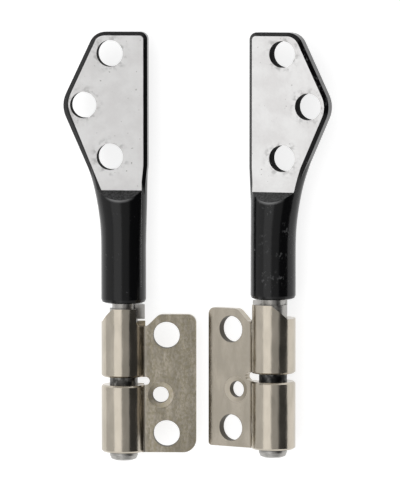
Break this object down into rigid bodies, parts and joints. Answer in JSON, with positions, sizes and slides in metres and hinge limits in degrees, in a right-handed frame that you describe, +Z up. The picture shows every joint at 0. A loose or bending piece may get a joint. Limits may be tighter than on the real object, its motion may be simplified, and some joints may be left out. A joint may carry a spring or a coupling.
{
  "type": "laptop hinge pair",
  "caption": "Left and right laptop friction hinges: a cast arm with a screw paddle turns on a steel pin that a folded, rolled spring-steel clip grips.",
  "frame": {"origin": "centre of the pair's outline, on the surface that it lies on", "axes": "+Y along the pins, from the clips to the lid arms; +X from the left hinge to the right one; +Z up, the way the milled faces look"},
  "size_m": [0.033, 0.0522, 0.0055],
  "materials": {
    "arm_paint": "satin black, bare milled face",
    "pin_steel": "turned",
    "clip_nickel": "nickel plated"
  },
  "bodies": {
    "base_clips": {"left_friction_clip": "clip_nickel", "right_friction_clip": "clip_nickel"},
    "left_arm": {"left_lid_arm": "arm_paint", "left_hinge_pin": "pin_steel"},
    "right_arm": {"right_lid_arm": "arm_paint", "right_hinge_pin": "pin_steel"}
  },
  "joints": [
    {"name": "left_hinge", "type": "hinge", "parent": "base_clips", "child": "left_arm", "pos_m": [-0.00925, -0.00684, 0.00273], "axis": [0, -1, 0], "range_deg": [-87, 48]},
    {"name": "right_hinge", "type": "hinge", "parent": "base_clips", "child": "right_arm", "pos_m": [0.00925, -0.00604, 0.00273], "axis": [0, 1, 0], "range_deg": [-97, 37]}
  ]
}
